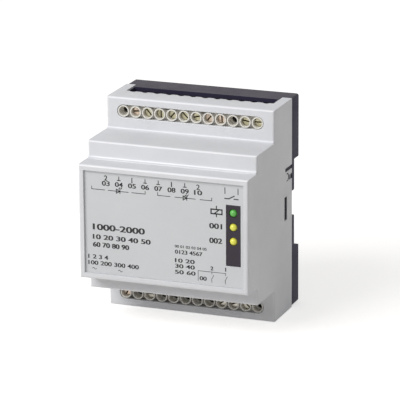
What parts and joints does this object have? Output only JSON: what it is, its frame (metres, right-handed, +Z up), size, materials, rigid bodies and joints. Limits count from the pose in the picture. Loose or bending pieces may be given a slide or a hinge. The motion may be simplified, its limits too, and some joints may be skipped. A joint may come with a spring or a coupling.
{
  "type": "photocell amplifier",
  "caption": "Rail-mounted photocell amplifier: stepped grey housing with screw terminal rows at top and bottom, a recessed label with indicator lamps, and a dark base with a rail clip.",
  "frame": {"origin": "middle of the seat on the 35 mm rail, on the plane that rests on the rail's flanges", "axes": "+Z up, across the rail; X along the rail; the front with the label and lamps faces -Y, and the rail leaves the base toward +Y"},
  "size_m": [0.07, 0.0589, 0.086],
  "materials": {
    "cover": "satin",
    "base": "satin",
    "label": "satin",
    "strip": "satin",
    "lamp_green": "gloss",
    "lamp_yellow": "gloss",
    "terminal_block": "matte",
    "contact": "satin",
    "screw": "satin",
    "cage": "satin",
    "spring": "satin",
    "clip": "satin",
    "board": "satin",
    "core": "matte",
    "coil": "matte",
    "relay": "satin",
    "capacitor": "satin",
    "chip": "matte",
    "fuse": "satin",
    "varistor": "gloss"
  },
  "bodies": {
    "housing": {"front_cover": "cover", "rear_base": "base", "front_label": "label", "indicator_strip": "strip", "clip_spring": "spring", "power_lamp": "lamp_green", "channel_1_lamp": "lamp_yellow", "channel_2_lamp": "lamp_yellow", "upper_terminal_block": "terminal_block", "lower_terminal_block": "terminal_block", "upper_contacts": "contact", "lower_contacts": "contact", "main_board": "board", "display_board": "board", "link_board": "board", "transformer_core": "core", "transformer_coil": "coil", "relay_1": "relay", "relay_2": "relay", "smoothing_capacitor": "capacitor", "supply_capacitor": "capacitor", "controller_chip": "chip", "amplifier_chips": "chip", "fuse": "fuse", "varistor": "varistor"},
    "rail_clip": {"rail_clip": "clip"},
    "upper_screw_02": {"upper_screw_02": "screw"},
    "upper_cage_02": {"upper_cage_02": "cage"},
    "upper_screw_03": {"upper_screw_03": "screw"},
    "upper_cage_03": {"upper_cage_03": "cage"},
    "upper_screw_04": {"upper_screw_04": "screw"},
    "upper_cage_04": {"upper_cage_04": "cage"},
    "upper_screw_05": {"upper_screw_05": "screw"},
    "upper_cage_05": {"upper_cage_05": "cage"},
    "upper_screw_06": {"upper_screw_06": "screw"},
    "upper_cage_06": {"upper_cage_06": "cage"},
    "upper_screw_07": {"upper_screw_07": "screw"},
    "upper_cage_07": {"upper_cage_07": "cage"},
    "upper_screw_08": {"upper_screw_08": "screw"},
    "upper_cage_08": {"upper_cage_08": "cage"},
    "upper_screw_09": {"upper_screw_09": "screw"},
    "upper_cage_09": {"upper_cage_09": "cage"},
    "upper_screw_11": {"upper_screw_11": "screw"},
    "upper_cage_11": {"upper_cage_11": "cage"},
    "upper_screw_12": {"upper_screw_12": "screw"},
    "upper_cage_12": {"upper_cage_12": "cage"},
    "lower_screw_01": {"lower_screw_01": "screw"},
    "lower_cage_01": {"lower_cage_01": "cage"},
    "lower_screw_03": {"lower_screw_03": "screw"},
    "lower_cage_03": {"lower_cage_03": "cage"},
    "lower_screw_09": {"lower_screw_09": "screw"},
    "lower_cage_09": {"lower_cage_09": "cage"},
    "lower_screw_10": {"lower_screw_10": "screw"},
    "lower_cage_10": {"lower_cage_10": "cage"},
    "lower_screw_11": {"lower_screw_11": "screw"},
    "lower_cage_11": {"lower_cage_11": "cage"}
  },
  "joints": [
    {"name": "rail_clip_slide", "type": "slide", "parent": "housing", "child": "rail_clip", "axis": [0, 0, -1], "range_m": [0, 0.004], "stiffness_N_per_m": 500, "springref_m": -0.002, "deforming": ["clip_spring"]},
    {"name": "upper_screw_02_turn", "type": "hinge", "parent": "housing", "child": "upper_screw_02", "pos_m": [-0.02286, -0.02, 0.0374], "axis": [0, 1, 0], "range_deg": [0, 2520]},
    {"name": "upper_cage_02_rise", "type": "slide", "parent": "housing", "child": "upper_cage_02", "axis": [0, -1, 0], "range_m": [0, 0.0035]},
    {"name": "upper_screw_03_turn", "type": "hinge", "parent": "housing", "child": "upper_screw_03", "pos_m": [-0.01778, -0.02, 0.0374], "axis": [0, 1, 0], "range_deg": [0, 2520]},
    {"name": "upper_cage_03_rise", "type": "slide", "parent": "housing", "child": "upper_cage_03", "axis": [0, -1, 0], "range_m": [0, 0.0035]},
    {"name": "upper_screw_04_turn", "type": "hinge", "parent": "housing", "child": "upper_screw_04", "pos_m": [-0.0127, -0.02, 0.0374], "axis": [0, 1, 0], "range_deg": [0, 2520]},
    {"name": "upper_cage_04_rise", "type": "slide", "parent": "housing", "child": "upper_cage_04", "axis": [0, -1, 0], "range_m": [0, 0.0035]},
    {"name": "upper_screw_05_turn", "type": "hinge", "parent": "housing", "child": "upper_screw_05", "pos_m": [-0.00762, -0.02, 0.0374], "axis": [0, 1, 0], "range_deg": [0, 2520]},
    {"name": "upper_cage_05_rise", "type": "slide", "parent": "housing", "child": "upper_cage_05", "axis": [0, -1, 0], "range_m": [0, 0.0035]},
    {"name": "upper_screw_06_turn", "type": "hinge", "parent": "housing", "child": "upper_screw_06", "pos_m": [-0.00254, -0.02, 0.0374], "axis": [0, 1, 0], "range_deg": [0, 2520]},
    {"name": "upper_cage_06_rise", "type": "slide", "parent": "housing", "child": "upper_cage_06", "axis": [0, -1, 0], "range_m": [0, 0.0035]},
    {"name": "upper_screw_07_turn", "type": "hinge", "parent": "housing", "child": "upper_screw_07", "pos_m": [0.00254, -0.02, 0.0374], "axis": [0, 1, 0], "range_deg": [0, 2520]},
    {"name": "upper_cage_07_rise", "type": "slide", "parent": "housing", "child": "upper_cage_07", "axis": [0, -1, 0], "range_m": [0, 0.0035]},
    {"name": "upper_screw_08_turn", "type": "hinge", "parent": "housing", "child": "upper_screw_08", "pos_m": [0.00762, -0.02, 0.0374], "axis": [0, 1, 0], "range_deg": [0, 2520]},
    {"name": "upper_cage_08_rise", "type": "slide", "parent": "housing", "child": "upper_cage_08", "axis": [0, -1, 0], "range_m": [0, 0.0035]},
    {"name": "upper_screw_09_turn", "type": "hinge", "parent": "housing", "child": "upper_screw_09", "pos_m": [0.0127, -0.02, 0.0374], "axis": [0, 1, 0], "range_deg": [0, 2520]},
    {"name": "upper_cage_09_rise", "type": "slide", "parent": "housing", "child": "upper_cage_09", "axis": [0, -1, 0], "range_m": [0, 0.0035]},
    {"name": "upper_screw_11_turn", "type": "hinge", "parent": "housing", "child": "upper_screw_11", "pos_m": [0.02286, -0.02, 0.0374], "axis": [0, 1, 0], "range_deg": [0, 2520]},
    {"name": "upper_cage_11_rise", "type": "slide", "parent": "housing", "child": "upper_cage_11", "axis": [0, -1, 0], "range_m": [0, 0.0035]},
    {"name": "upper_screw_12_turn", "type": "hinge", "parent": "housing", "child": "upper_screw_12", "pos_m": [0.02794, -0.02, 0.0374], "axis": [0, 1, 0], "range_deg": [0, 2520]},
    {"name": "upper_cage_12_rise", "type": "slide", "parent": "housing", "child": "upper_cage_12", "axis": [0, -1, 0], "range_m": [0, 0.0035]},
    {"name": "lower_screw_01_turn", "type": "hinge", "parent": "housing", "child": "lower_screw_01", "pos_m": [-0.02794, -0.02, -0.0374], "axis": [0, 1, 0], "range_deg": [0, 2520]},
    {"name": "lower_cage_01_rise", "type": "slide", "parent": "housing", "child": "lower_cage_01", "axis": [0, -1, 0], "range_m": [0, 0.0035]},
    {"name": "lower_screw_03_turn", "type": "hinge", "parent": "housing", "child": "lower_screw_03", "pos_m": [-0.01778, -0.02, -0.0374], "axis": [0, 1, 0], "range_deg": [0, 2520]},
    {"name": "lower_cage_03_rise", "type": "slide", "parent": "housing", "child": "lower_cage_03", "axis": [0, -1, 0], "range_m": [0, 0.0035]},
    {"name": "lower_screw_09_turn", "type": "hinge", "parent": "housing", "child": "lower_screw_09", "pos_m": [0.0127, -0.02, -0.0374], "axis": [0, 1, 0], "range_deg": [0, 2520]},
    {"name": "lower_cage_09_rise", "type": "slide", "parent": "housing", "child": "lower_cage_09", "axis": [0, -1, 0], "range_m": [0, 0.0035]},
    {"name": "lower_screw_10_turn", "type": "hinge", "parent": "housing", "child": "lower_screw_10", "pos_m": [0.01778, -0.02, -0.0374], "axis": [0, 1, 0], "range_deg": [0, 2520]},
    {"name": "lower_cage_10_rise", "type": "slide", "parent": "housing", "child": "lower_cage_10", "axis": [0, -1, 0], "range_m": [0, 0.0035]},
    {"name": "lower_screw_11_turn", "type": "hinge", "parent": "housing", "child": "lower_screw_11", "pos_m": [0.02286, -0.02, -0.0374], "axis": [0, 1, 0], "range_deg": [0, 2520]},
    {"name": "lower_cage_11_rise", "type": "slide", "parent": "housing", "child": "lower_cage_11", "axis": [0, -1, 0], "range_m": [0, 0.0035]}
  ],
  "couplings": [
    {"joint": "upper_screw_02_turn", "follows": "upper_cage_02_rise", "rad_per_m": 12566},
    {"joint": "upper_screw_03_turn", "follows": "upper_cage_03_rise", "rad_per_m": 12566},
    {"joint": "upper_screw_04_turn", "follows": "upper_cage_04_rise", "rad_per_m": 12566},
    {"joint": "upper_screw_05_turn", "follows": "upper_cage_05_rise", "rad_per_m": 12566},
    {"joint": "upper_screw_06_turn", "follows": "upper_cage_06_rise", "rad_per_m": 12566},
    {"joint": "upper_screw_07_turn", "follows": "upper_cage_07_rise", "rad_per_m": 12566},
    {"joint": "upper_screw_08_turn", "follows": "upper_cage_08_rise", "rad_per_m": 12566},
    {"joint": "upper_screw_09_turn", "follows": "upper_cage_09_rise", "rad_per_m": 12566},
    {"joint": "upper_screw_11_turn", "follows": "upper_cage_11_rise", "rad_per_m": 12566},
    {"joint": "upper_screw_12_turn", "follows": "upper_cage_12_rise", "rad_per_m": 12566},
    {"joint": "lower_screw_01_turn", "follows": "lower_cage_01_rise", "rad_per_m": 12566},
    {"joint": "lower_screw_03_turn", "follows": "lower_cage_03_rise", "rad_per_m": 12566},
    {"joint": "lower_screw_09_turn", "follows": "lower_cage_09_rise", "rad_per_m": 12566},
    {"joint": "lower_screw_10_turn", "follows": "lower_cage_10_rise", "rad_per_m": 12566},
    {"joint": "lower_screw_11_turn", "follows": "lower_cage_11_rise", "rad_per_m": 12566}
  ]
}
